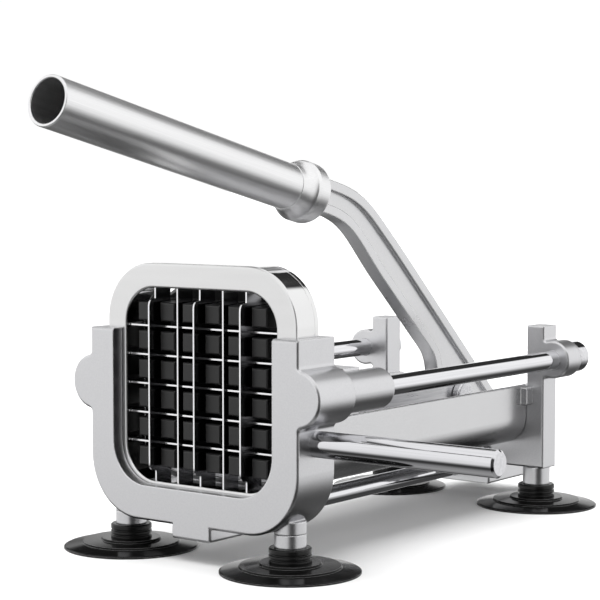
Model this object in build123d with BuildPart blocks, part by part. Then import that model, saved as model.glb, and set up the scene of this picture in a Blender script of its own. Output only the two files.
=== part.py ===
from build123d import *
from math import atan2, cos, degrees, hypot, radians, sin
import os

os.makedirs("parts", exist_ok=True)

# ---------------------------------------------------------------------------
# Horizontal hand-lever vegetable dicer.
# X runs across the machine (+X is the side of the hold bar), +Y runs from the
# blade end to the lever pivot, +Z is up. The pieces are laid out from the
# machine's centre plane, the front face of the blade frame and the table, and
# each finished piece is then shifted so that the origin is the middle of the
# whole machine's footprint, on the table. Millimetres.
# ---------------------------------------------------------------------------
ORIGIN_X = 36.75        # middle of the footprint, from the centre plane
ORIGIN_Y = 89.862       # middle of the footprint, from the blade frame's face


# cutting grid
PITCH = 13.2            # cell pitch of the grid, a nominal half-inch cut
BLADE_T = 0.8           # blade thickness
GRID_Z = 77.0           # height of the grid centre
BLADE_BACK = 17.0       # rear edge of every blade
FLAT_FRONT = 7.0        # front edge of the flat upright blades
BOW_FRONT = 2.6         # front edge of the bowed upright blades
LEVEL_FRONT = 8.4       # front edge of the level blades
LAP = 12.5              # depth at which crossing blades are half lapped

# cassette that holds the grid
CAS_W = 109.4
CAS_H = 110.0
CAS_R = 26.0
CAS_Y0 = 6.2
CAS_SPLIT = 18.8
CAS_Y1 = 22.2
OPEN_W = 87.0
OPEN_H = 87.5
OPEN_R = 16.5
BLADE_TANG = 2.5        # length of each blade held inside the cassette

# front frame
FR_HALF = 60.0
FR_DEPTH = 26.5
FR_TOP = 102.0
FR_BOT = 16.0
FR_R = 28.0
FR_IN = 46.0
FR_IN_BOT = 31.8
SLOT_Y0 = 5.9
SLOT_Y1 = 22.5
SLOT_HALF = 55.2
EAR_R = 12.4

# guide rods
ROD_X = 59.0
ROD_Z = 76.8
ROD_R = 4.65
ROD_END_R = 3.0         # reduced threaded end inside the front ear
ROD_END_Y = 8.0
BUSH_BORE = 4.72

# rear frame
RF_Y0 = 215.3
RF_Y1 = 228.6
RF_HALF = 54.0
RF_TOP = 93.8
RF_BOT = 20.0
RF_EAR_R = 9.6

# trough
TR_HALF = 44.0
TR_WALL = 2.5
TR_TOP = 63.2
TR_BOT = 32.0
TR_R = 14.0

# lower tie bar
TIE_Z = 16.2
TIE_R = 4.7

# lever, pivot and link
PIV_Y, PIV_Z = 252.0, 23.0
PIV_R = 5.0
LUG_Y, LUG_Z = 204.0, 56.0
CP_Y, CP_Z = 62.0, 66.0
ARM_T = 8.0
WEB_T = 4.0
RIM = 4.6
HUB_R = 13.0
HUB_HALF = 7.5
LUG_R = 12.0
LUG_HALF = 6.0

# handle
H_Y0, H_Z0 = -86.0, 201.0    # centre of the open end
H_DY, H_DZ = 0.9756, -0.2196
TUBE_R = 10.9
TUBE_BORE = 9.4
TUBE_L = 160.0

# hold bar
BAR_Y, BAR_Z, BAR_R = 13.3, 56.8, 5.8
BAR_END = 151.0

# feet
FOOT_X = 46.5
FOOT_YF = 12.2
FOOT_YR = 221.7
POST_R = 7.0
COLLAR_R = 9.4
CUP_R = 31.0

FEET = {
    "front_left": (-FOOT_X, FOOT_YF, 17.0),
    "front_right": (FOOT_X, FOOT_YF, 17.0),
    "rear_left": (-FOOT_X, FOOT_YR, RF_BOT),
    "rear_right": (FOOT_X, FOOT_YR, RF_BOT),
}


def face_plane(y):
    """Upright plane across the machine at depth y: local x is X, local y is Z."""
    return Plane.XZ.offset(-y)


def side_plane(x):
    """Upright plane along the machine: local x is Y, local y is Z."""
    return Plane.YZ.offset(x)


def save(part, name):
    placed = part.moved(Location((-ORIGIN_X, -ORIGIN_Y, 0)))
    placed.label = name
    export_step(placed, f"parts/{name}.step")


# ---------------------------------------------------------------- front frame
# A cast yoke: two posts joined by a round-cornered bottom, an ear on each side
# for a guide rod, a boss under the middle for the tie bar, and a slot between
# its front and rear walls in which the cassette stands.
with BuildPart() as front_frame:
    with BuildSketch(face_plane(0)) as s:
        with BuildLine():
            Polyline(
                (-FR_HALF, FR_TOP), (-FR_HALF, FR_BOT), (FR_HALF, FR_BOT),
                (FR_HALF, FR_TOP), (-FR_HALF, FR_TOP),
            )
        make_face()
        fillet(s.vertices().group_by(Axis.Y)[0], FR_R)
        with Locations((-ROD_X, ROD_Z), (ROD_X, ROD_Z)):
            Circle(EAR_R)
        inner = [v for v in s.vertices() if abs(abs(v.X) - FR_HALF) < 0.01 and 60 < v.Y < 95]
        fillet(inner, 2.0)
    extrude(amount=-FR_DEPTH)
    with BuildSketch(face_plane(0)):
        with Locations((0, 16.0)):
            RectangleRounded(22.5, 12.2, 1.2)
    extrude(amount=-23.0)
    with BuildSketch(face_plane(0)):
        with Locations((0, TIE_Z)):
            Circle(6.2)
    extrude(amount=-FR_DEPTH)
    outer_front = front_frame.edges().filter_by_position(Axis.Y, -0.01, 0.01)
    chamfer(outer_front, 0.9)
    outer_back = front_frame.edges().filter_by_position(Axis.Y, FR_DEPTH - 0.01, FR_DEPTH + 0.01)
    chamfer(outer_back, 0.8)
    # window in the front and rear walls, open upward
    with BuildSketch(face_plane(-1)) as s:
        with BuildLine():
            Polyline(
                (-FR_IN, FR_TOP + 5), (-FR_IN, FR_IN_BOT), (FR_IN, FR_IN_BOT),
                (FR_IN, FR_TOP + 5), (-FR_IN, FR_TOP + 5),
            )
        make_face()
        fillet(s.vertices().group_by(Axis.Y)[0], 19.0)
    extrude(amount=-(FR_DEPTH + 2), mode=Mode.SUBTRACT)
    # slot for the cassette
    with BuildSketch(face_plane(SLOT_Y0)) as s:
        with BuildLine():
            Polyline(
                (-SLOT_HALF, FR_TOP + 5), (-SLOT_HALF, GRID_Z - CAS_H / 2),
                (SLOT_HALF, GRID_Z - CAS_H / 2), (SLOT_HALF, FR_TOP + 5),
                (-SLOT_HALF, FR_TOP + 5),
            )
        make_face()
        fillet(s.vertices().group_by(Axis.Y)[0], CAS_R + 0.4)
    extrude(amount=-(SLOT_Y1 - SLOT_Y0), mode=Mode.SUBTRACT)
    # pads that carry the front feet
    with BuildSketch(Plane.XY.offset(17.0)):
        with Locations((-FOOT_X, FOOT_YF), (FOOT_X, FOOT_YF)):
            Circle(POST_R)
    extrude(amount=5.6)
    # blind holes for the guide rods and the tie bar, from behind
    with BuildSketch(face_plane(ROD_END_Y)):
        with Locations((-ROD_X, ROD_Z), (ROD_X, ROD_Z)):
            Circle(ROD_END_R)
    extrude(amount=-20.0, mode=Mode.SUBTRACT)
    with BuildSketch(face_plane(18.0)):
        with Locations((0, TIE_Z)):
            Circle(TIE_R)
    extrude(amount=-12.0, mode=Mode.SUBTRACT)
    # threaded hole for the hold bar stud, tapped holes for the foot studs
    with BuildSketch(side_plane(FR_HALF - 6)):
        with Locations((BAR_Y, BAR_Z)):
            Circle(3.0)
    extrude(amount=10.0, mode=Mode.SUBTRACT)
    with BuildSketch(Plane.XY.offset(15.0)):
        with Locations((-FOOT_X, FOOT_YF), (FOOT_X, FOOT_YF)):
            Circle(3.0)
    extrude(amount=7.6, mode=Mode.SUBTRACT)
save(front_frame.part, "front_frame")


# ------------------------------------------------------------------- cassette
SCREW_TIP = 10.0        # front end of the cassette screws


def cassette_half(y0, y1, edge_y, tapped):
    """One half of the blade holder: a rounded square ring with blade slits."""
    with BuildPart(mode=Mode.PRIVATE) as half:
        with BuildSketch(face_plane(y0)):
            with Locations((0, GRID_Z)):
                RectangleRounded(CAS_W, CAS_H, CAS_R)
                RectangleRounded(OPEN_W, OPEN_H, OPEN_R, mode=Mode.SUBTRACT)
        extrude(amount=-(y1 - y0))
        rim = half.edges().filter_by_position(Axis.Y, edge_y - 0.01, edge_y + 0.01)
        fillet(rim, 1.0)
        # slits that hold the blade ends
        for k in range(-2, 3):
            front = FLAT_FRONT
            with BuildSketch(Plane.XY.offset(GRID_Z - OPEN_H / 2 - BLADE_TANG)):
                with Locations((k * PITCH, (front + BLADE_BACK) / 2)):
                    Rectangle(BLADE_T, BLADE_BACK - front)
            extrude(amount=OPEN_H + 2 * BLADE_TANG, mode=Mode.SUBTRACT)
            with BuildSketch(side_plane(-OPEN_W / 2 - BLADE_TANG)):
                with Locations(((LEVEL_FRONT + BLADE_BACK) / 2, GRID_Z + k * PITCH)):
                    Rectangle(BLADE_BACK - LEVEL_FRONT, BLADE_T)
            extrude(amount=OPEN_W + 2 * BLADE_TANG, mode=Mode.SUBTRACT)
        # corner screw holes: blind in the front half, through and sunk behind
        if tapped:
            with BuildSketch(face_plane(SCREW_TIP)):
                with Locations((0, GRID_Z)):
                    with GridLocations(85.0, 85.6, 2, 2):
                        Circle(1.6)
            extrude(amount=-(y1 - SCREW_TIP + 1), mode=Mode.SUBTRACT)
        else:
            with BuildSketch(face_plane(y0 - 1)):
                with Locations((0, GRID_Z)):
                    with GridLocations(85.0, 85.6, 2, 2):
                        Circle(1.6)
            extrude(amount=-(y1 - y0 + 2), mode=Mode.SUBTRACT)
            with BuildSketch(face_plane(y1 - 1.8)):
                with Locations((0, GRID_Z)):
                    with GridLocations(85.0, 85.6, 2, 2):
                        Circle(3.1)
            extrude(amount=-2.8, mode=Mode.SUBTRACT)
    return half


cas_front = cassette_half(CAS_Y0, CAS_SPLIT, CAS_Y0, True)
save(cas_front.part, "cassette_front")
cas_rear = cassette_half(CAS_SPLIT, CAS_Y1, CAS_Y1, False)
save(cas_rear.part, "cassette_rear")

with BuildPart() as cassette_screws:
    with BuildSketch(face_plane(CAS_Y1 - 1.8)):
        with Locations((0, GRID_Z)):
            with GridLocations(85.0, 85.6, 2, 2):
                Circle(3.0)
    extrude(amount=-1.6)
    with BuildSketch(face_plane(SCREW_TIP)):
        with Locations((0, GRID_Z)):
            with GridLocations(85.0, 85.6, 2, 2):
                Circle(1.6)
    extrude(amount=-(CAS_Y1 - 1.8 - SCREW_TIP))
    with BuildSketch(face_plane(CAS_Y1 - 0.9)):
        with Locations((0, GRID_Z)):
            with GridLocations(85.0, 85.6, 2, 2):
                Rectangle(4.4, 0.8)
    extrude(amount=-2.0, mode=Mode.SUBTRACT)
save(cassette_screws.part, "cassette_screws")

# level blades, notched from the front where the upright blades cross them
HALF_Z = OPEN_H / 2 + BLADE_TANG
HALF_X = OPEN_W / 2 + BLADE_TANG
with BuildPart() as blades_level:
    for k in range(-2, 3):
        with BuildSketch(Plane.XY.offset(GRID_Z + k * PITCH - BLADE_T / 2)):
            with Locations((0, (LEVEL_FRONT + BLADE_BACK) / 2)):
                Rectangle(2 * HALF_X, BLADE_BACK - LEVEL_FRONT)
            with Locations(*[(j * PITCH, (LEVEL_FRONT - 1 + LAP) / 2) for j in range(-2, 3)]):
                Rectangle(BLADE_T, LAP - LEVEL_FRONT + 1, mode=Mode.SUBTRACT)
        extrude(amount=BLADE_T)
save(blades_level.part, "blades_level")

# flat upright blades, notched from behind
with BuildPart() as blades_upright_flat:
    for j in (-1, 1):
        with BuildSketch(side_plane(j * PITCH - BLADE_T / 2)):
            with Locations(((FLAT_FRONT + BLADE_BACK) / 2, GRID_Z)):
                Rectangle(BLADE_BACK - FLAT_FRONT, 2 * HALF_Z)
            with Locations(*[((LAP + BLADE_BACK + 1) / 2, GRID_Z + k * PITCH) for k in range(-2, 3)]):
                Rectangle(BLADE_BACK + 1 - LAP, BLADE_T, mode=Mode.SUBTRACT)
        extrude(amount=BLADE_T)
save(blades_upright_flat.part, "blades_upright_flat")

# bowed upright blades, whose cutting edge stands forward of the others, so the
# crossing blades enter the food one after another
with BuildPart() as blades_upright_bowed:
    for j in (-2, 0, 2):
        with BuildSketch(side_plane(j * PITCH - BLADE_T / 2)):
            with BuildLine():
                zt, zb = GRID_Z + HALF_Z, GRID_Z - HALF_Z
                zs = 39.0
                Line((BLADE_BACK, zb), (BLADE_BACK, zt))
                Line((BLADE_BACK, zt), (FLAT_FRONT, zt))
                Line((FLAT_FRONT, zt), (FLAT_FRONT, GRID_Z + zs + 0.6))
                Spline(
                    (FLAT_FRONT, GRID_Z + zs + 0.6), (BOW_FRONT + 2.2, GRID_Z + zs - 0.3),
                    (BOW_FRONT, GRID_Z + zs - 4.0),
                    tangents=((0, -1), (0, -1)),
                )
                Line((BOW_FRONT, GRID_Z + zs - 4.0), (BOW_FRONT, GRID_Z - zs + 4.0))
                Spline(
                    (BOW_FRONT, GRID_Z - zs + 4.0), (BOW_FRONT + 2.2, GRID_Z - zs + 0.3),
                    (FLAT_FRONT, GRID_Z - zs - 0.6),
                    tangents=((0, -1), (0, -1)),
                )
                Line((FLAT_FRONT, GRID_Z - zs - 0.6), (FLAT_FRONT, zb))
                Line((FLAT_FRONT, zb), (BLADE_BACK, zb))
            make_face()
            with Locations(*[((LAP + BLADE_BACK + 1) / 2, GRID_Z + k * PITCH) for k in range(-2, 3)]):
                Rectangle(BLADE_BACK + 1 - LAP, BLADE_T, mode=Mode.SUBTRACT)
        extrude(amount=BLADE_T)
save(blades_upright_bowed.part, "blades_upright_bowed")

# --------------------------------------------------------------- guide rods
for side, name in ((-1, "guide_rod_left"), (1, "guide_rod_right")):
    with BuildPart() as rod:
        with BuildSketch(face_plane(FR_DEPTH)):
            with Locations((side * ROD_X, ROD_Z)):
                Circle(ROD_R)
        extrude(amount=-(236.5 - FR_DEPTH))
        chamfer(rod.edges().group_by(Axis.Y)[-1], 0.8)
        with BuildSketch(face_plane(ROD_END_Y)):
            with Locations((side * ROD_X, ROD_Z)):
                Circle(ROD_END_R)
        extrude(amount=-(FR_DEPTH - ROD_END_Y))
    save(rod.part, name)

with BuildPart() as rod_washers:
    with BuildSketch(face_plane(RF_Y1)):
        with Locations((-ROD_X, ROD_Z), (ROD_X, ROD_Z)):
            Circle(9.0)
            Circle(ROD_R, mode=Mode.SUBTRACT)
    extrude(amount=-1.4)
save(rod_washers.part, "rod_washers")

# closed round nuts with a driver slot, one on the rear end of each rod
with BuildPart() as rod_cap_nuts:
    with BuildSketch(face_plane(RF_Y1 + 1.4)):
        with Locations((-ROD_X, ROD_Z), (ROD_X, ROD_Z)):
            Circle(8.0)
    extrude(amount=-11.8)
    chamfer(rod_cap_nuts.edges().group_by(Axis.Y)[-1], 2.4)
    with BuildSketch(face_plane(RF_Y1 + 1.4)):
        with Locations((-ROD_X, ROD_Z), (ROD_X, ROD_Z)):
            Circle(ROD_R)
    extrude(amount=-(236.5 - RF_Y1 - 1.4), mode=Mode.SUBTRACT)
    with BuildSketch(face_plane(RF_Y1 + 11.6)):
        with Locations((-ROD_X, ROD_Z), (ROD_X, ROD_Z)):
            Rectangle(1.8, 20)
    extrude(amount=-3, mode=Mode.SUBTRACT)
save(rod_cap_nuts.part, "rod_cap_nuts")

# ---------------------------------------------------------------- rear frame
with BuildPart() as rear_frame:
    with BuildSketch(face_plane(RF_Y0)) as s:
        with Locations((0, (RF_TOP + RF_BOT) / 2)):
            Rectangle(2 * RF_HALF, RF_TOP - RF_BOT)
        with Locations((-ROD_X, ROD_Z), (ROD_X, ROD_Z)):
            Circle(RF_EAR_R)
        notch = [v for v in s.vertices() if abs(abs(v.X) - RF_HALF) < 0.01 and 60 < v.Y < 92]
        fillet(notch, 1.6)
        with BuildLine():
            Polyline(
                (-RF_HALF + 10, RF_TOP + 5), (-RF_HALF + 10, TR_TOP), (RF_HALF - 10, TR_TOP),
                (RF_HALF - 10, RF_TOP + 5), (-RF_HALF + 10, RF_TOP + 5),
            )
        make_face(mode=Mode.SUBTRACT)
    extrude(amount=-(RF_Y1 - RF_Y0))
    chamfer(rear_frame.edges().filter_by_position(Axis.Y, RF_Y0 - 0.01, RF_Y0 + 0.01), 0.7)
    chamfer(rear_frame.edges().filter_by_position(Axis.Y, RF_Y1 - 0.01, RF_Y1 + 0.01), 0.7)
    # the lower part of the window has the trough's inner shape
    with BuildSketch(face_plane(RF_Y0 - 1)) as s:
        with BuildLine():
            w = TR_HALF - TR_WALL
            Polyline(
                (-w, TR_TOP + 1.5), (-w, TR_BOT + TR_WALL), (w, TR_BOT + TR_WALL),
                (w, TR_TOP + 1.5), (-w, TR_TOP + 1.5),
            )
        make_face()
        fillet(s.vertices().group_by(Axis.Y)[0], TR_R - TR_WALL)
    extrude(amount=-(RF_Y1 - RF_Y0 + 2), mode=Mode.SUBTRACT)
    with BuildSketch(face_plane(RF_Y0 - 1)):
        with Locations((-ROD_X, ROD_Z), (ROD_X, ROD_Z)):
            Circle(ROD_R)
        with Locations((-17, 26.4), (17, 26.4)):
            Circle(2.5)
        with Locations((-45.2, 57.4), (45.2, 57.4)):
            Circle(1.6)
    extrude(amount=-(RF_Y1 - RF_Y0 + 2), mode=Mode.SUBTRACT)
    with BuildSketch(Plane.XY.offset(RF_BOT - 1)):
        with Locations((-FOOT_X, FOOT_YR), (FOOT_X, FOOT_YR)):
            Circle(3.0)
    extrude(amount=7.0, mode=Mode.SUBTRACT)
    with BuildSketch(face_plane(RF_Y0 - 1)):
        with Locations((0, TIE_Z)):
            Circle(TIE_R)
    extrude(amount=-7.7, mode=Mode.SUBTRACT)
save(rear_frame.part, "rear_frame")

# -------------------------------------------------------------------- trough
# A round-cornered channel in which the food lies, with a small fixing tab on
# each side of its rear end.
with BuildPart() as trough:
    with BuildSketch(face_plane(FR_DEPTH)) as s:
        with BuildLine():
            Polyline(
                (-TR_HALF, TR_TOP), (-TR_HALF, TR_BOT), (TR_HALF, TR_BOT),
                (TR_HALF, TR_TOP), (-TR_HALF, TR_TOP),
            )
        make_face()
        fillet(s.vertices().group_by(Axis.Y)[0], TR_R)
    extrude(amount=-(RF_Y0 - FR_DEPTH))
    chamfer(trough.edges().group_by(Axis.Y)[-1], 0.7)
    with BuildSketch(face_plane(RF_Y0 - 6.0)):
        with Locations((-45.3, 57.4), (45.3, 57.4)):
            RectangleRounded(5.0, 9.0, 1.0)
    extrude(amount=-6.0)
    with BuildSketch(face_plane(FR_DEPTH - 1)) as s:
        with BuildLine():
            w = TR_HALF - TR_WALL
            Polyline(
                (-w, TR_TOP + 1.5), (-w, TR_BOT + TR_WALL), (w, TR_BOT + TR_WALL),
                (w, TR_TOP + 1.5), (-w, TR_TOP + 1.5),
            )
        make_face()
        fillet(s.vertices().group_by(Axis.Y)[0], TR_R - TR_WALL)
    extrude(amount=-(RF_Y0 - FR_DEPTH + 2), mode=Mode.SUBTRACT)
    top = trough.edges().filter_by(Axis.Y).group_by(Axis.Z)[-1]
    fillet(top, 0.9)
    with BuildSketch(face_plane(RF_Y0 - 4.4)):
        with Locations((-45.2, 57.4), (45.2, 57.4)):
            Circle(1.6)
    extrude(amount=-6.0, mode=Mode.SUBTRACT)
save(trough.part, "trough")

# screws through the rear frame into the trough's tabs, heads behind
with BuildPart() as trough_screws:
    with BuildSketch(face_plane(RF_Y1)):
        with Locations((-45.2, 57.4), (45.2, 57.4)):
            Circle(2.9)
    extrude(amount=-1.9)
    fillet(trough_screws.edges().group_by(Axis.Y)[-1], 0.8)
    with BuildSketch(face_plane(RF_Y0 - 4.4)):
        with Locations((-45.2, 57.4), (45.2, 57.4)):
            Circle(1.6)
    extrude(amount=-(RF_Y1 - RF_Y0 + 4.4))
save(trough_screws.part, "trough_screws")

# ------------------------------------------------------------- lower tie bar
with BuildPart() as lower_tie_bar:
    with BuildSketch(face_plane(18.0)):
        with Locations((0, TIE_Z)):
            Circle(TIE_R)
    extrude(amount=-(222.0 - 18.0))
save(lower_tie_bar.part, "lower_tie_bar")

# ------------------------------------------------------------- lever bracket
# A fork behind and under the rear frame. Its two cheeks carry the pivot pin.
with BuildPart() as lever_bracket:
    with BuildSketch(side_plane(-22.0)):
        with BuildLine():
            Polyline(
                (214.6, 9.0), (268.0, 9.0), (268.0, 30.0), (261.0, 36.0), (RF_Y1, 36.0),
                (RF_Y1, RF_BOT), (214.6, RF_BOT), (214.6, 9.0),
            )
        make_face()
    extrude(amount=44.0)
    fillet(lever_bracket.edges().filter_by(Axis.X).group_by(Axis.Y)[-1], 4.0)
    chamfer(lever_bracket.edges().group_by(Axis.X)[0] + lever_bracket.edges().group_by(Axis.X)[-1], 0.7)
    with BuildSketch(Plane.XY.offset(5.0)):
        with Locations((0, 236.0 + 20)):
            Rectangle(16.2, 40)
    extrude(amount=40.0, mode=Mode.SUBTRACT)
    with BuildSketch(side_plane(-25)):
        with Locations((PIV_Y, PIV_Z)):
            Circle(PIV_R)
    extrude(amount=50.0, mode=Mode.SUBTRACT)
    with BuildSketch(face_plane(213.0)):
        with Locations((0, TIE_Z)):
            Circle(TIE_R)
    extrude(amount=-9.0, mode=Mode.SUBTRACT)
    with BuildSketch(face_plane(227.0)):
        with Locations((-17, 26.4), (17, 26.4)):
            Circle(2.5)
    extrude(amount=-12.0, mode=Mode.SUBTRACT)
save(lever_bracket.part, "lever_bracket")

with BuildPart() as bracket_screws:
    with BuildSketch(face_plane(RF_Y0 - 3.4)):
        with Locations((-17, 26.4), (17, 26.4)):
            Circle(4.4)
    extrude(amount=-3.4)
    fillet(bracket_screws.edges().group_by(Axis.Y)[0], 0.7)
    with BuildSketch(face_plane(RF_Y0)):
        with Locations((-17, 26.4), (17, 26.4)):
            Circle(2.5)
    extrude(amount=-23.0)
    with BuildSketch(face_plane(RF_Y0 - 3.4)):
        with Locations((-17, 26.4), (17, 26.4)):
            RegularPolygon(2.4, 6)
    extrude(amount=-2.2, mode=Mode.SUBTRACT)
save(bracket_screws.part, "bracket_screws")

with BuildPart() as pivot_pin:
    with BuildSketch(side_plane(-28.5)):
        with Locations((PIV_Y, PIV_Z)):
            Circle(PIV_R)
    extrude(amount=50.5)
    with BuildSketch(side_plane(22.0)):
        with Locations((PIV_Y, PIV_Z)):
            Circle(8.0)
    extrude(amount=4.2)
    fillet(pivot_pin.edges().group_by(Axis.X)[-1], 1.4)
    chamfer(pivot_pin.edges().group_by(Axis.X)[0], 0.8)
save(pivot_pin.part, "pivot_pin")

with BuildPart() as pivot_nut:
    with BuildSketch(side_plane(-22.0)):
        with Locations((PIV_Y, PIV_Z)):
            RegularPolygon(8.5, 6, major_radius=False)
    extrude(amount=-5.5)
    chamfer(pivot_nut.edges().group_by(Axis.X)[0], 0.8)
    with BuildSketch(side_plane(-20.0)):
        with Locations((PIV_Y, PIV_Z)):
            Circle(PIV_R)
    extrude(amount=-9.0, mode=Mode.SUBTRACT)
save(pivot_nut.part, "pivot_nut")

# ------------------------------------------------------------------ hold bar
with BuildPart() as hold_bar:
    with BuildSketch(side_plane(FR_HALF)):
        with Locations((BAR_Y, BAR_Z)):
            Circle(BAR_R)
    extrude(amount=BAR_END - FR_HALF)
    chamfer(hold_bar.edges().group_by(Axis.X)[-1], 1.0)
    with BuildSketch(side_plane(FR_HALF)):
        with Locations((BAR_Y, BAR_Z)):
            Circle(3.0)
    extrude(amount=14.0, mode=Mode.SUBTRACT)
save(hold_bar.part, "hold_bar")

with BuildPart() as hold_bar_stud:
    with BuildSketch(side_plane(55.6)):
        with Locations((BAR_Y, BAR_Z)):
            Circle(3.0)
    extrude(amount=18.0)
save(hold_bar_stud.part, "hold_bar_stud")

# ---------------------------------------------------------------------- feet
# Each foot is a round post, a ribbed collar and a stepped suction disc, held
# together by a stud.
for key, (fx, fy, ftop) in FEET.items():
    with BuildPart() as foot_post:
        with BuildSketch(Plane.XY.offset(11.0)):
            with Locations((fx, fy)):
                Circle(POST_R)
                Circle(3.0, mode=Mode.SUBTRACT)
        extrude(amount=ftop - 11.0)
    save(foot_post.part, f"foot_post_{key}")

    with BuildPart() as foot_collar:
        with BuildSketch(Plane.XZ) as s:
            with BuildLine():
                Polyline(
                    (3.0, 4.6), (COLLAR_R, 4.6), (COLLAR_R, 5.6), (COLLAR_R - 0.7, 5.9),
                    (COLLAR_R - 0.7, 6.4), (COLLAR_R, 6.7), (COLLAR_R, 7.7), (COLLAR_R - 0.7, 8.0),
                    (COLLAR_R - 0.7, 8.5), (COLLAR_R, 8.8), (COLLAR_R, 10.5), (COLLAR_R - 0.5, 11.0),
                    (3.0, 11.0), (3.0, 4.6),
                )
            make_face()
        revolve(axis=Axis.Z)
    save(foot_collar.part.moved(Location((fx, fy, 0))), f"foot_collar_{key}")

    with BuildPart() as suction_cup:
        with BuildSketch(Plane.XZ) as s:
            with BuildLine():
                Polyline(
                    (0, 1.6), (10.0, 1.5), (20.0, 0.9), (26.5, 0.0), (CUP_R, 0.0), (CUP_R, 0.7),
                    (CUP_R - 0.8, 1.1), (22.6, 2.3), (22.2, 3.2), (14.0, 3.6), (13.4, 4.6),
                    (3.0, 4.6), (3.0, 3.0), (0, 3.0), (0, 1.6),
                )
            make_face()
        revolve(axis=Axis.Z)
    save(suction_cup.part.moved(Location((fx, fy, 0))), f"suction_cup_{key}")

with BuildPart() as foot_studs:
    for fx, fy, ftop in FEET.values():
        with BuildSketch(Plane.XY.offset(3.0)):
            with Locations((fx, fy)):
                Circle(3.0)
        extrude(amount=ftop + 4.4 - 3.0)
save(foot_studs.part, "foot_studs")

# ------------------------------------------------------------------ carriage
# A cast cross-head: a sleeve on each guide rod, a plate for the pusher, and a
# rear tongue with the window in which the link pin works.
with BuildPart() as carriage:
    with BuildSketch(face_plane(27.0)):
        with Locations((-ROD_X, ROD_Z), (ROD_X, ROD_Z)):
            Circle(9.2)
    extrude(amount=-34.0)
    fillet(carriage.edges().group_by(Axis.Y)[-1], 1.8)
    fillet(carriage.edges().group_by(Axis.Y)[0], 0.8)
    with BuildSketch(face_plane(33.4)):
        with Locations((0, ROD_Z)):
            Rectangle(2 * ROD_X, 21.0)
    extrude(amount=-12.0)
    with BuildSketch(face_plane(33.4)):
        with Locations((0, GRID_Z)):
            RectangleRounded(72.0, 70.0, 8.0)
    extrude(amount=-7.6)
    with BuildSketch(side_plane(-6.0)) as s:
        with BuildLine():
            Polyline(
                (38.0, 52.0), (70.0, 54.0), (76.0, 60.0), (76.0, 94.0), (70.0, 99.0),
                (38.0, 104.0), (38.0, 52.0),
            )
        make_face()
        fillet(s.vertices().group_by(Axis.X)[-1], 3.0)
    extrude(amount=12.0)
    with BuildSketch(side_plane(-10)):
        with Locations(((53.4 + 67.9) / 2, (61.2 + 91.6) / 2)):
            RectangleRounded(14.5, 30.4, 4.2)
    extrude(amount=20, mode=Mode.SUBTRACT)
    # bores: rod clearance in the middle, counterbores for the bushings
    with BuildSketch(face_plane(26.0)):
        with Locations((-ROD_X, ROD_Z), (ROD_X, ROD_Z)):
            Circle(5.4)
    extrude(amount=-37.0, mode=Mode.SUBTRACT)
    for y0 in (25.0, 52.5):
        with BuildSketch(face_plane(y0)):
            with Locations((-ROD_X, ROD_Z), (ROD_X, ROD_Z)):
                Circle(6.4)
        extrude(amount=-(10.5 if y0 < 30 else 9.5), mode=Mode.SUBTRACT)
    with BuildSketch(face_plane(33.0)):
        with Locations((0, GRID_Z)):
            with GridLocations(52.0, 52.0, 2, 2):
                Circle(2.6)
    extrude(amount=-14.0, mode=Mode.SUBTRACT)
save(carriage.part, "carriage")

with BuildPart() as rod_bushings:
    for y0, y1 in ((27.4, 35.5), (52.5, 60.6)):
        with BuildSketch(face_plane(y0)):
            with Locations((-ROD_X, ROD_Z), (ROD_X, ROD_Z)):
                Circle(6.4)
                Circle(BUSH_BORE, mode=Mode.SUBTRACT)
        extrude(amount=-(y1 - y0))
save(rod_bushings.part, "rod_bushings")

# pusher block: 36 tapered square pegs on a bevelled base
with BuildPart() as pusher_block:
    with BuildSketch(face_plane(24.6)):
        with Locations((0, GRID_Z)):
            RectangleRounded(81.0, 81.0, 12.5)
        with Locations((0, 93.6)):
            RectangleRounded(88.0, 55.4, 22.0)
    extrude(amount=-8.8)
    chamfer(pusher_block.edges().group_by(Axis.Y)[0], 2.0)
    for i in range(6):
        for k in range(6):
            px = (i - 2.5) * PITCH
            pz = GRID_Z + (k - 2.5) * PITCH
            with BuildSketch(face_plane(7.5)):
                with Locations((px, pz)):
                    Rectangle(7.4, 7.4)
            with BuildSketch(face_plane(8.1)):
                with Locations((px, pz)):
                    Rectangle(8.5, 8.5)
            loft()
            with BuildSketch(face_plane(8.1)):
                with Locations((px, pz)):
                    Rectangle(8.5, 8.5)
            with BuildSketch(face_plane(25.5)):
                with Locations((px, pz)):
                    Rectangle(10.2, 10.2)
            loft()
    with BuildSketch(face_plane(34.0)):
        with Locations((0, GRID_Z)):
            with GridLocations(52.0, 52.0, 2, 2):
                Circle(2.0)
    extrude(amount=6.0, mode=Mode.SUBTRACT)
save(pusher_block.part, "pusher_block")

with BuildPart() as pusher_screws:
    with BuildSketch(face_plane(41.0)):
        with Locations((0, GRID_Z)):
            with GridLocations(52.0, 52.0, 2, 2):
                Circle(4.4)
    extrude(amount=-3.2)
    fillet(pusher_screws.edges().group_by(Axis.Y)[-1], 0.8)
    with BuildSketch(face_plane(28.0)):
        with Locations((0, GRID_Z)):
            with GridLocations(52.0, 52.0, 2, 2):
                Circle(2.0)
    extrude(amount=-13.0)
    with BuildSketch(face_plane(42.2)):
        with Locations((0, GRID_Z)):
            with GridLocations(52.0, 52.0, 2, 2):
                RegularPolygon(2.3, 6)
    extrude(amount=-3.0, mode=Mode.SUBTRACT)
save(pusher_screws.part, "pusher_screws")


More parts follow.
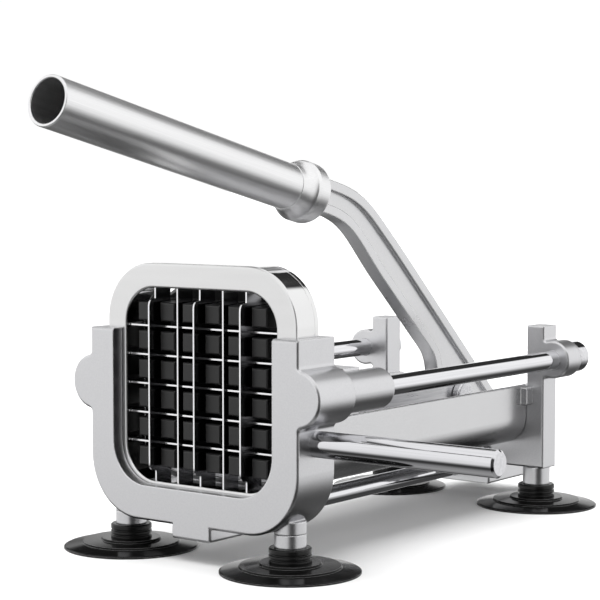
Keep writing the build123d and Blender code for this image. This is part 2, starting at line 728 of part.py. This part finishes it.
# --------------------------------------------------------------------- lever
def arm_outline():
    """Closed outline of the cast arm in the side plane (local x is Y, y is Z)."""
    k = 1.118
    z_end = 52.7
    y_end = 229.1 + (71.2 - z_end) * k
    d = (k / hypot(k, 1), -1 / hypot(k, 1))
    Line((84.8, 155.45), (88.7, 171.3))
    Spline(
        (88.7, 171.3), (99.0, 169.0), (114.5, 165.1), (129.0, 158.6), (143.5, 147.6), (165.0, 129.0),
        tangents=((0.9756, -0.2196), d),
    )
    Line((165.0, 129.0), (y_end, z_end))
    Spline((y_end, z_end), (261.5, 38.0), (PIV_Y + HUB_R, PIV_Z), tangents=(d, (0, -1)))
    ThreePointArc(
        (PIV_Y + HUB_R, PIV_Z), (PIV_Y, PIV_Z - HUB_R), (PIV_Y - HUB_R, PIV_Z),
    )
    Spline(
        (PIV_Y - HUB_R, PIV_Z), (238.3, 32.0), (233.6, 40.8), (224.0, 44.2), (LUG_Y, LUG_Z - LUG_R),
        tangents=((0, 1), (-1, 0)),
    )
    ThreePointArc(
        (LUG_Y, LUG_Z - LUG_R),
        (LUG_Y - LUG_R * cos(radians(45)), LUG_Z - LUG_R * sin(radians(45))),
        (LUG_Y - LUG_R, LUG_Z),
    )
    Spline(
        (LUG_Y - LUG_R, LUG_Z), (192.6, 68.0), (190.6, 76.0), (180.4, 86.9),
        tangents=((0, 1), (-0.748, 0.663)),
    )
    Line((180.4, 86.9), (143.6, 119.5))
    Spline(
        (143.6, 119.5), (127.0, 135.6), (112.5, 147.2), (98.5, 152.4), (84.8, 155.45),
        tangents=((-0.748, 0.663), (-0.9756, 0.2196)),
    )


def panel_outline():
    """Closed outline of the recessed panel, one rim width inside the arm."""
    Spline(
        (90.0, 159.0), (105.3, 155.2), (115.5, 150.8), (124.5, 144.2), (132.1, 137.0),
        (139.4, 129.8), (146.7, 122.9),
        tangents=((0.9756, -0.2196), (0.748, -0.663)),
    )
    Line((146.7, 122.9), (183.5, 90.3))
    Spline(
        (183.5, 90.3), (191.3, 83.1), (194.8, 77.9), (196.7, 72.0), (197.0, 63.0),
        tangents=((0.748, -0.663), (0, -1)),
    )
    Polyline((197.0, 63.0), (214.0, 50.0), (240.0, 44.0), (246.7, 49.3), (161.9, 125.6))
    Spline(
        (161.9, 125.6), (151.9, 134.4), (141.7, 143.1), (131.6, 151.3), (120.9, 157.7),
        (109.0, 161.9), (96.2, 164.9), (90.0, 166.3),
        tangents=((-0.745, 0.667), (-0.9756, 0.2196)),
    )
    Line((90.0, 166.3), (90.0, 159.0))


H_AXIS = (0, H_DY, H_DZ)


def handle_plane(s):
    """Plane square to the handle, s along its axis from the open end."""
    return Plane(
        origin=(0, H_Y0 + s * H_DY, H_Z0 + s * H_DZ), x_dir=(1, 0, 0), z_dir=H_AXIS,
    )


with BuildPart() as lever_arm:
    with BuildSketch(side_plane(-ARM_T / 2)):
        with BuildLine():
            arm_outline()
        make_face()
    extrude(amount=ARM_T)
    # recessed panel on each side, leaving a rim round the arm
    for x0 in (-ARM_T / 2 - 1, WEB_T / 2):
        with BuildSketch(side_plane(x0)):
            with BuildLine():
                panel_outline()
            make_face()
        extrude(amount=(ARM_T - WEB_T) / 2 + 1, mode=Mode.SUBTRACT)
    # hub, link lug and spigot
    with BuildSketch(side_plane(-HUB_HALF)):
        with Locations((PIV_Y, PIV_Z)):
            Circle(HUB_R)
    extrude(amount=2 * HUB_HALF)
    with BuildSketch(side_plane(-LUG_HALF)):
        with Locations((LUG_Y, LUG_Z)):
            Circle(LUG_R - 1.5)
    extrude(amount=2 * LUG_HALF)
    with BuildSketch(handle_plane(140.0)):
        Circle(TUBE_BORE)
    extrude(amount=41.0)
    # bores
    with BuildSketch(side_plane(-20)):
        with Locations((PIV_Y, PIV_Z)):
            Circle(7.5)
    extrude(amount=40, mode=Mode.SUBTRACT)
    with BuildSketch(side_plane(-20)):
        with Locations((LUG_Y, LUG_Z)):
            Circle(4.95)
    extrude(amount=40, mode=Mode.SUBTRACT)
save(lever_arm.part, "lever_arm")

with BuildPart() as lever_bushing:
    with BuildSketch(side_plane(-HUB_HALF)):
        with Locations((PIV_Y, PIV_Z)):
            Circle(7.5)
            Circle(PIV_R + 0.06, mode=Mode.SUBTRACT)
    extrude(amount=2 * HUB_HALF)
save(lever_bushing.part, "lever_bushing")

# handle tube: thin round tube, open at the hand end
with BuildPart() as handle_tube:
    with BuildSketch(handle_plane(0)):
        Circle(TUBE_R)
        Circle(TUBE_BORE, mode=Mode.SUBTRACT)
    extrude(amount=TUBE_L + 2)
    ends = handle_tube.edges().filter_by(GeomType.CIRCLE).sort_by(Axis.Y)
    fillet(ends[:2], 0.6)
save(handle_tube.part, "handle_tube")

# collar: a flared ring over the joint between tube and arm
with BuildPart() as handle_collar:
    with BuildSketch(Plane(origin=(0, H_Y0, H_Z0), x_dir=H_AXIS, z_dir=(1, 0, 0))) as s:
        with BuildLine():
            Polyline((158.0, TUBE_R), (158.0, 11.1), (160.0, 11.3))
            Spline((160.0, 11.3), (163.6, 12.2), (166.4, 13.9), tangents=((1, 0.05), (0.7, 0.7)))
            Line((166.4, 13.9), (168.0, 14.6))
            Line((168.0, 14.6), (173.5, 14.6))
            Spline((173.5, 14.6), (175.4, 14.0), (176.4, 12.6), tangents=((1, 0), (0.2, -1)))
            Polyline((176.4, 12.6), (176.4, TUBE_BORE), (162.0, TUBE_BORE), (162.0, TUBE_R), (158.0, TUBE_R))
        make_face()
    revolve(axis=Axis((0, H_Y0, H_Z0), H_AXIS))
save(handle_collar.part, "handle_collar")

# ---------------------------------------------------------------------- link
LINK_L = hypot(LUG_Y - CP_Y, LUG_Z - CP_Z)
LINK_A = degrees(atan2(CP_Z - LUG_Z, CP_Y - LUG_Y))
for x0, name in ((-10.2, "link_plate_left"), (6.6, "link_plate_right")):
    with BuildPart() as link_plate:
        with BuildSketch(side_plane(x0)):
            with Locations(((LUG_Y + CP_Y) / 2, (LUG_Z + CP_Z) / 2)):
                SlotCenterToCenter(LINK_L, 16.0, rotation=LINK_A)
            with Locations((LUG_Y, LUG_Z)):
                Circle(5.01, mode=Mode.SUBTRACT)
            with Locations((CP_Y, CP_Z)):
                Circle(4.0, mode=Mode.SUBTRACT)
        extrude(amount=3.6)
        chamfer(link_plate.edges().group_by(Axis.X)[0] + link_plate.edges().group_by(Axis.X)[-1], 0.4)
    save(link_plate.part, name)

with BuildPart() as link_rear_pin:
    with BuildSketch(side_plane(-15.0)):
        with Locations((LUG_Y, LUG_Z)):
            Circle(4.95)
    extrude(amount=25.6)
    with BuildSketch(side_plane(10.6)):
        with Locations((LUG_Y, LUG_Z)):
            Circle(7.4)
    extrude(amount=3.8)
    fillet(link_rear_pin.edges().group_by(Axis.X)[-1], 1.3)
save(link_rear_pin.part, "link_rear_pin")

with BuildPart() as link_rear_nut:
    with BuildSketch(side_plane(-10.6)):
        with Locations((LUG_Y, LUG_Z)):
            RegularPolygon(7.6, 6, major_radius=False)
            Circle(4.95, mode=Mode.SUBTRACT)
    extrude(amount=-4.0)
save(link_rear_nut.part, "link_rear_nut")

with BuildPart() as link_front_pin:
    with BuildSketch(side_plane(-14.0)):
        with Locations((CP_Y, CP_Z)):
            Circle(4.0)
    extrude(amount=24.2)
    with BuildSketch(side_plane(10.2)):
        with Locations((CP_Y, CP_Z)):
            Circle(6.2)
    extrude(amount=3.4)
    fillet(link_front_pin.edges().group_by(Axis.X)[-1], 1.0)
save(link_front_pin.part, "link_front_pin")

with BuildPart() as link_front_nut:
    with BuildSketch(side_plane(-10.2)):
        with Locations((CP_Y, CP_Z)):
            RegularPolygon(6.5, 6, major_radius=False)
            Circle(4.0, mode=Mode.SUBTRACT)
    extrude(amount=-3.4)
save(link_front_nut.part, "link_front_nut")
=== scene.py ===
import math

import bmesh
import bpy
from mathutils import Matrix, Vector

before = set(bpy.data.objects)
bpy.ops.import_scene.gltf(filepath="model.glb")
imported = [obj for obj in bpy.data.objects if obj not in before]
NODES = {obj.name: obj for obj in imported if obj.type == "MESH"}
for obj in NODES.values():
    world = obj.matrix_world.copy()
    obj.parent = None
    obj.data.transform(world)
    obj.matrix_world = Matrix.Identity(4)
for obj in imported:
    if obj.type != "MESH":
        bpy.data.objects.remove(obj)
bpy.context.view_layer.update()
WORLD = 1.05        # brightness of the studio walls
FEET = ("front_left", "front_right", "rear_left", "rear_right")


# ------------------------------------------------------------------ materials
class Mat:
    """A node material with short helpers for the maths."""

    def __init__(self, name):
        self.m = bpy.data.materials.new(name)
        self.m.use_nodes = True
        self.t = self.m.node_tree
        self.t.nodes.clear()
        self.out = self.t.nodes.new("ShaderNodeOutputMaterial")
        self.p = self.t.nodes.new("ShaderNodeBsdfPrincipled")
        self.t.links.new(self.p.outputs["BSDF"], self.out.inputs["Surface"])
        self.geo = self.t.nodes.new("ShaderNodeNewGeometry")
        self.co = self.t.nodes.new("ShaderNodeTexCoord").outputs["Object"]

    def link(self, a, b):
        self.t.links.new(a, b)

    def put(self, sock, value):
        if isinstance(value, bpy.types.NodeSocket):
            self.link(value, sock)
        else:
            sock.default_value = value

    def math(self, op, a, b=0.0, clamp=False):
        n = self.t.nodes.new("ShaderNodeMath")
        n.operation = op
        n.use_clamp = clamp
        self.put(n.inputs[0], a)
        self.put(n.inputs[1], b)
        return n.outputs[0]

    def scaled(self, s, tilt=0.0):
        """Object coordinates turned by tilt about X, then scaled by s."""
        n = self.t.nodes.new("ShaderNodeMapping")
        n.vector_type = "TEXTURE"
        self.link(self.co, n.inputs["Vector"])
        n.inputs["Rotation"].default_value = (tilt, 0.0, 0.0)
        n.inputs["Scale"].default_value = tuple(1.0 / x for x in s)
        return n.outputs[0]

    def noise(self, scale, detail=3.0, rough=0.5, at=None):
        n = self.t.nodes.new("ShaderNodeTexNoise")
        self.link(at if at is not None else self.co, n.inputs["Vector"])
        n.inputs["Scale"].default_value = scale
        n.inputs["Detail"].default_value = detail
        n.inputs["Roughness"].default_value = rough
        return n.outputs[0]

    def remap(self, v, a, b, c, d):
        n = self.t.nodes.new("ShaderNodeMapRange")
        n.clamp = True
        self.link(v, n.inputs[0])
        for i, x in enumerate((a, b, c, d)):
            n.inputs[i + 1].default_value = x
        return n.outputs[0]

    def mix(self, f, a, b):
        n = self.t.nodes.new("ShaderNodeMix")
        n.data_type = "RGBA"
        self.put(n.inputs[0], f)
        self.put(n.inputs[6], a)
        self.put(n.inputs[7], b)
        return n.outputs[2]

    def edges(self, radius, gain=6.0):
        """(rounded normal, 0..1 mask of the sharp edges)"""
        b = self.t.nodes.new("ShaderNodeBevel")
        b.samples = 6
        b.inputs["Radius"].default_value = radius
        d = self.t.nodes.new("ShaderNodeVectorMath")
        d.operation = "DOT_PRODUCT"
        self.link(b.outputs[0], d.inputs[0])
        self.link(self.geo.outputs["Normal"], d.inputs[1])
        inv = self.math("SUBTRACT", 1.0, d.outputs["Value"])
        return b.outputs[0], self.math("MULTIPLY", inv, gain, clamp=True)

    def bump(self, height, strength, distance, normal=None):
        n = self.t.nodes.new("ShaderNodeBump")
        n.inputs["Strength"].default_value = strength
        n.inputs["Distance"].default_value = distance
        self.link(height, n.inputs["Height"])
        if normal is not None:
            self.link(normal, n.inputs["Normal"])
        return n.outputs[0]

    def set(self, **kw):
        for k, v in kw.items():
            self.put(self.p.inputs[k.replace("_", " ")], v)
        return self.m


def rgb(r, g=None, b=None):
    return (r, g if g is not None else r, b if b is not None else r, 1.0)


def cast_metal(name, base, dark, bright, r0, r1, grain=1400.0, bump=0.10):
    """Blasted, clear-finished aluminium casting: fine grain, soft blotches,
    edges rubbed bright."""
    m = Mat(name)
    blotch = m.noise(22.0, 4.0, 0.6)
    fine = m.noise(grain, 2.0, 0.55)
    nrm, edge = m.edges(0.0009, 5.0)
    worn = m.math("MULTIPLY", edge, m.remap(m.noise(160.0, 3.0), 0.35, 0.6, 0.45, 1.0))
    col = m.mix(m.remap(blotch, 0.3, 0.7, 0.0, 1.0), dark, base)
    col = m.mix(m.math("MULTIPLY", m.remap(fine, 0.35, 0.7, 0.0, 1.0), 0.18), col, bright)
    col = m.mix(m.math("MULTIPLY", worn, 0.85), col, bright)
    rough = m.math("ADD", m.remap(blotch, 0.3, 0.7, r0, r1), m.math("MULTIPLY", worn, -0.10))
    return m.set(Base_Color=col, Metallic=1.0, Roughness=rough,
                 Normal=m.bump(fine, bump, 0.00012, nrm))


def polished_sides(name, base, bright, r_face, r_side):
    """Cassette plates: satin on the flat faces, polished on the band round them."""
    m = Mat(name)
    sep = m.t.nodes.new("ShaderNodeSeparateXYZ")
    m.link(m.geo.outputs["True Normal"], sep.inputs[0])
    face = m.remap(m.math("ABSOLUTE", sep.outputs["Y"]), 0.45, 0.75, 0.0, 1.0)
    nrm, edge = m.edges(0.0007, 5.0)
    fine = m.noise(1500.0, 2.0)
    lay = m.noise(420.0, 2.0, 0.5, m.scaled((0.06, 1.0, 1.0)))
    col = m.mix(m.math("MULTIPLY", edge, 0.8), m.mix(m.math("MULTIPLY", fine, 0.2), base, bright), bright)
    rough = m.math("ADD", m.math("MULTIPLY", face, r_face - r_side), r_side)
    rough = m.math("ADD", rough, m.math("MULTIPLY", m.remap(lay, 0.3, 0.7, -0.03, 0.03), face))
    return m.set(Base_Color=col, Metallic=1.0, Roughness=rough,
                 Normal=m.bump(m.math("MULTIPLY", fine, face), 0.07, 0.0001, nrm))


def drawn_metal(name, base, bright, r0, r1, squeeze, scale, bump, smudge=0.05, edge_r=0.0003, tilt=0.0, side=None):
    """Steel with its grain drawn one way: squeeze is the mapping that
    stretches the grain along the piece."""
    m = Mat(name)
    lay = m.noise(scale, 3.0, 0.6, m.scaled(squeeze, tilt))
    hand = m.noise(38.0, 4.0, 0.6)
    nrm, edge = m.edges(edge_r, 5.0)
    col = m.mix(m.remap(lay, 0.35, 0.65, 0.0, 1.0), base, bright)
    if side is not None:        # painted shade: the broad faces are darkened to the side colour, the ground edges keep the steel colour
        sep = m.t.nodes.new("ShaderNodeSeparateXYZ")
        m.link(m.geo.outputs["True Normal"], sep.inputs[0])
        col = m.mix(m.remap(m.math("ABSOLUTE", sep.outputs["Y"]), 0.3, 0.7, 0.0, 1.0), side, col)
    rough = m.math("ADD", m.remap(lay, 0.3, 0.7, r0, r1), m.remap(hand, 0.4, 0.7, 0.0, smudge))
    return m.set(Base_Color=col, Metallic=1.0, Roughness=rough,
                 Normal=m.bump(lay, bump, 0.00005, nrm))


def black_moulding(name, base, dust_and_glint_col, r0, r1, bump, grain=900.0, coat=0.0, edge_r=0.0005, spec=0.5, dusty=0.25):
    m = Mat(name)
    fine = m.noise(grain, 3.0, 0.6)
    dust = m.noise(70.0, 5.0, 0.65)
    nrm, edge = m.edges(edge_r, 5.0)
    # real dust: blotches blended towards the second colour
    col = m.mix(m.math("MULTIPLY", m.remap(dust, 0.5, 0.8, 0.0, 1.0), dusty), base, dust_and_glint_col)
    # painted highlight: the sharp edges are lightened towards the second colour, the same one the dust uses
    col = m.mix(m.math("MULTIPLY", edge, 0.8), col, dust_and_glint_col)
    m.set(Base_Color=col, Metallic=0.0, Roughness=m.remap(dust, 0.3, 0.7, r0, r1),
          Normal=m.bump(fine, bump, 0.00015, nrm))
    m.p.inputs["Coat Weight"].default_value = coat
    m.p.inputs["Specular IOR Level"].default_value = spec
    m.p.inputs["Coat Roughness"].default_value = 0.12
    return m.m


casting = cast_metal("casting", rgb(0.69, 0.69, 0.705), rgb(0.655, 0.655, 0.67), rgb(0.90), 0.29, 0.34)
casting_arm = cast_metal("casting_arm", rgb(0.70, 0.70, 0.71), rgb(0.66, 0.66, 0.67), rgb(0.90), 0.26, 0.32, bump=0.06)
casting_trough = cast_metal("casting_trough", rgb(0.68, 0.68, 0.69), rgb(0.64, 0.64, 0.65), rgb(0.90), 0.22, 0.27, bump=0.04)
cassette = polished_sides("cassette_plate", rgb(0.79), rgb(0.92), 0.33, 0.06)
# blade steel: the side colour rgb(0.24) is painted shade on the broad faces of the blades
blade = drawn_metal("blade_steel", rgb(0.88, 0.88, 0.90), rgb(0.96, 0.96, 0.97), 0.12, 0.22, (1.0, 0.05, 1.0), 900.0, 0.05, 0.04, 0.0001, side=rgb(0.24, 0.24, 0.25))
rod = drawn_metal("rod_chrome", rgb(0.74, 0.74, 0.76), rgb(0.82, 0.82, 0.84), 0.025, 0.05, (1.0, 0.02, 1.0), 700.0, 0.015, 0.03)
bar = drawn_metal("bar_chrome", rgb(0.66, 0.66, 0.68), rgb(0.74, 0.74, 0.76), 0.03, 0.06, (0.02, 1.0, 1.0), 700.0, 0.015, 0.03)
tube = drawn_metal("tube_brushed", rgb(0.86, 0.86, 0.865), rgb(0.92, 0.92, 0.925), 0.32, 0.37, (1.0, 0.008, 1.0), 1900.0, 0.012, 0.01, tilt=math.radians(-12.69))
plate = drawn_metal("plate_brushed", rgb(0.60, 0.60, 0.615), rgb(0.78, 0.78, 0.79), 0.24, 0.34, (1.0, 0.04, 1.0), 900.0, 0.06, 0.05)
fastener = drawn_metal("fastener_steel", rgb(0.55, 0.55, 0.57), rgb(0.76, 0.76, 0.78), 0.20, 0.32, (1.0, 1.0, 1.0), 600.0, 0.05, 0.08)
bronze = drawn_metal("bushing_bronze", rgb(0.50, 0.33, 0.14), rgb(0.62, 0.44, 0.20), 0.35, 0.5, (1.0, 1.0, 1.0), 1500.0, 0.10, 0.05)
# the second colour of each black moulding tints its dust and is also the painted highlight along its edges: faint on
# the pegs and collars, strong glints on the cup rims
pegs = black_moulding("peg_plastic", rgb(0.007), rgb(0.075), 0.32, 0.42, 0.08, edge_r=0.0006, dusty=0.06)
collar_black = black_moulding("collar_plastic", rgb(0.005), rgb(0.03), 0.20, 0.30, 0.05, spec=0.3)
rubber = black_moulding("cup_rubber", rgb(0.004), rgb(0.34), 0.10, 0.16, 0.015, grain=500.0, spec=0.10, edge_r=0.00035, dusty=0.02)

LOOK = {"front_frame": casting, "rear_frame": casting, "lever_bracket": casting, "carriage": casting,
        "trough": casting_trough, "lever_arm": casting_arm,
        "cassette_front": cassette, "cassette_rear": cassette,
        "blades_level": blade, "blades_upright_flat": blade, "blades_upright_bowed": blade,
        "guide_rod_left": rod, "guide_rod_right": rod, "lower_tie_bar": rod,
        "rod_cap_nuts": bar, "hold_bar": bar, "handle_tube": tube, "handle_collar": tube,
        "link_plate_left": plate, "link_plate_right": plate,
        "rod_bushings": bronze, "lever_bushing": bronze, "pusher_block": pegs}
for f in FEET:
    LOOK["foot_post_" + f] = casting
    LOOK["foot_collar_" + f] = collar_black
    LOOK["suction_cup_" + f] = rubber
for name, o in NODES.items():
    if o.type == "MESH":
        mat = LOOK.get(name, fastener)
        if not o.material_slots:
            o.data.materials.append(mat)
        for s in o.material_slots:
            s.link = "OBJECT"
            s.material = mat


# ---------------------------------------------------------------------- stage
def plane(name, size, z):
    me = bpy.data.meshes.new(name)
    b = bmesh.new()
    bmesh.ops.create_grid(b, x_segments=1, y_segments=1, size=size)
    b.to_mesh(me)
    b.free()
    o = bpy.data.objects.new(name, me)
    o.location.z = z
    bpy.context.scene.collection.objects.link(o)
    return o


floor = plane("floor", 14.0, 0.0)
fm = Mat("floor_white")
floor.data.materials.append(fm.set(Base_Color=fm.mix(fm.remap(fm.noise(3.0, 2.0), 0.3, 0.7, 0.0, 1.0), rgb(0.90), rgb(0.92)),
                                   Roughness=0.6))
floor.visible_glossy = False

# The studio: white to look at, with a dark flag behind on the left, a dark
# side where the camera stands and a dark table for the reflections.
world = bpy.data.worlds.new("studio")
bpy.context.scene.world = world
world.use_nodes = True
wt = world.node_tree
wt.nodes.clear()


def wn(kind, **inputs):
    n = wt.nodes.new(kind)
    for k, v in inputs.items():
        i = int(k[1:])
        if isinstance(v, bpy.types.NodeSocket):
            wt.links.new(v, n.inputs[i])
        else:
            n.inputs[i].default_value = v
    return n


def wmath(op, a, b=0.0):
    n = wn("ShaderNodeMath", _0=a, _1=b)
    n.operation = op
    return n.outputs[0]


def step(v, a, b, lo=0.0, hi=1.0):
    n = wn("ShaderNodeMapRange", _0=v, _1=a, _2=b, _3=lo, _4=hi)
    n.interpolation_type = "SMOOTHSTEP"
    return n.outputs[0]


sep = wn("ShaderNodeSeparateXYZ", _0=wt.nodes.new("ShaderNodeTexCoord").outputs["Generated"])
dx, dy, dz = sep.outputs[0], sep.outputs[1], sep.outputs[2]
ramp = wn("ShaderNodeValToRGB", _0=wmath("MULTIPLY", wmath("ADD", dz, 1.0), 0.5))
el = ramp.color_ramp.elements
el[0].position, el[0].color = 0.0, rgb(0.45)
el[1].position, el[1].color = 1.0, rgb(0.95)
for z, v in ((-0.80, 0.30), (-0.62, 0.06), (-0.46, 0.05), (-0.34, 0.34), (-0.20, 0.88), (0.0, 1.0), (0.3, 1.0), (0.7, 1.05)):
    x = el.new((z + 1) / 2)
    x.color = rgb(v)
flag = wmath("MULTIPLY", wmath("MULTIPLY", step(dz, 0.25, 0.28), step(dz, 0.615, 0.655, 1.0, 0.0)),
             wmath("MULTIPLY", step(dx, 0.10, 0.20, 1.0, 0.0), step(dy, 0.35, 0.50)))
line = wmath("MULTIPLY", wmath("MULTIPLY", step(dz, 0.665, 0.68), step(dz, 0.71, 0.725, 1.0, 0.0)), step(dx, -0.35, -0.45))
flag = wmath("MAXIMUM", flag, line)
near = wmath("MULTIPLY", wmath("MULTIPLY", step(dx, 0.30, 0.55), step(dy, -0.10, -0.35)), step(dz, 0.45, 0.65, 1.0, 0.0))
left = wmath("MULTIPLY", wmath("MULTIPLY", step(dx, -0.66, -0.74), step(dy, 0.30, 0.45)), step(dz, 0.30, 0.10))
keep = wmath("MULTIPLY", wmath("SUBTRACT", 1.0, wmath("MULTIPLY", flag, 0.97)),
             wmath("MULTIPLY", wmath("SUBTRACT", 1.0, wmath("MULTIPLY", near, 0.94)),
                   wmath("SUBTRACT", 1.0, wmath("MULTIPLY", left, 0.8))))
bg = wn("ShaderNodeBackground", _0=ramp.outputs[0], _1=wmath("MULTIPLY", keep, WORLD))
cam_bg = wn("ShaderNodeBackground", _0=rgb(1.0), _1=1.02)
mx = wn("ShaderNodeMixShader", _0=wt.nodes.new("ShaderNodeLightPath").outputs["Is Camera Ray"],
        _1=bg.outputs[0], _2=cam_bg.outputs[0])
wt.links.new(mx.outputs[0], wt.nodes.new("ShaderNodeOutputWorld").inputs[0])


sun = bpy.data.lights.new("overhead", "SUN")
sun.energy, sun.angle = 3.2, math.radians(70.0)
so = bpy.data.objects.new("overhead", sun)
so.location = (0.0, 0.0, 2.0)
so.rotation_euler = (math.radians(-8.0), math.radians(-10.0), 0.0)
so.visible_glossy = False
bpy.context.scene.collection.objects.link(so)

# --------------------------------------------------------------------- camera
cam = bpy.data.cameras.new("camera")
cam.lens, cam.sensor_width, cam.sensor_fit = 110.916, 36.0, "HORIZONTAL"
cam.clip_start, cam.clip_end = 0.02, 60.0
co = bpy.data.objects.new("camera", cam)
bpy.context.scene.collection.objects.link(co)
co.location = (0.49365, -0.70216, 0.1712)
co.rotation_mode = "QUATERNION"
co.rotation_quaternion = Vector((-0.607, 0.792, -0.0673)).to_track_quat("-Z", "Y")
bpy.context.scene.camera = co

bpy.context.scene.view_settings.view_transform = "Standard"
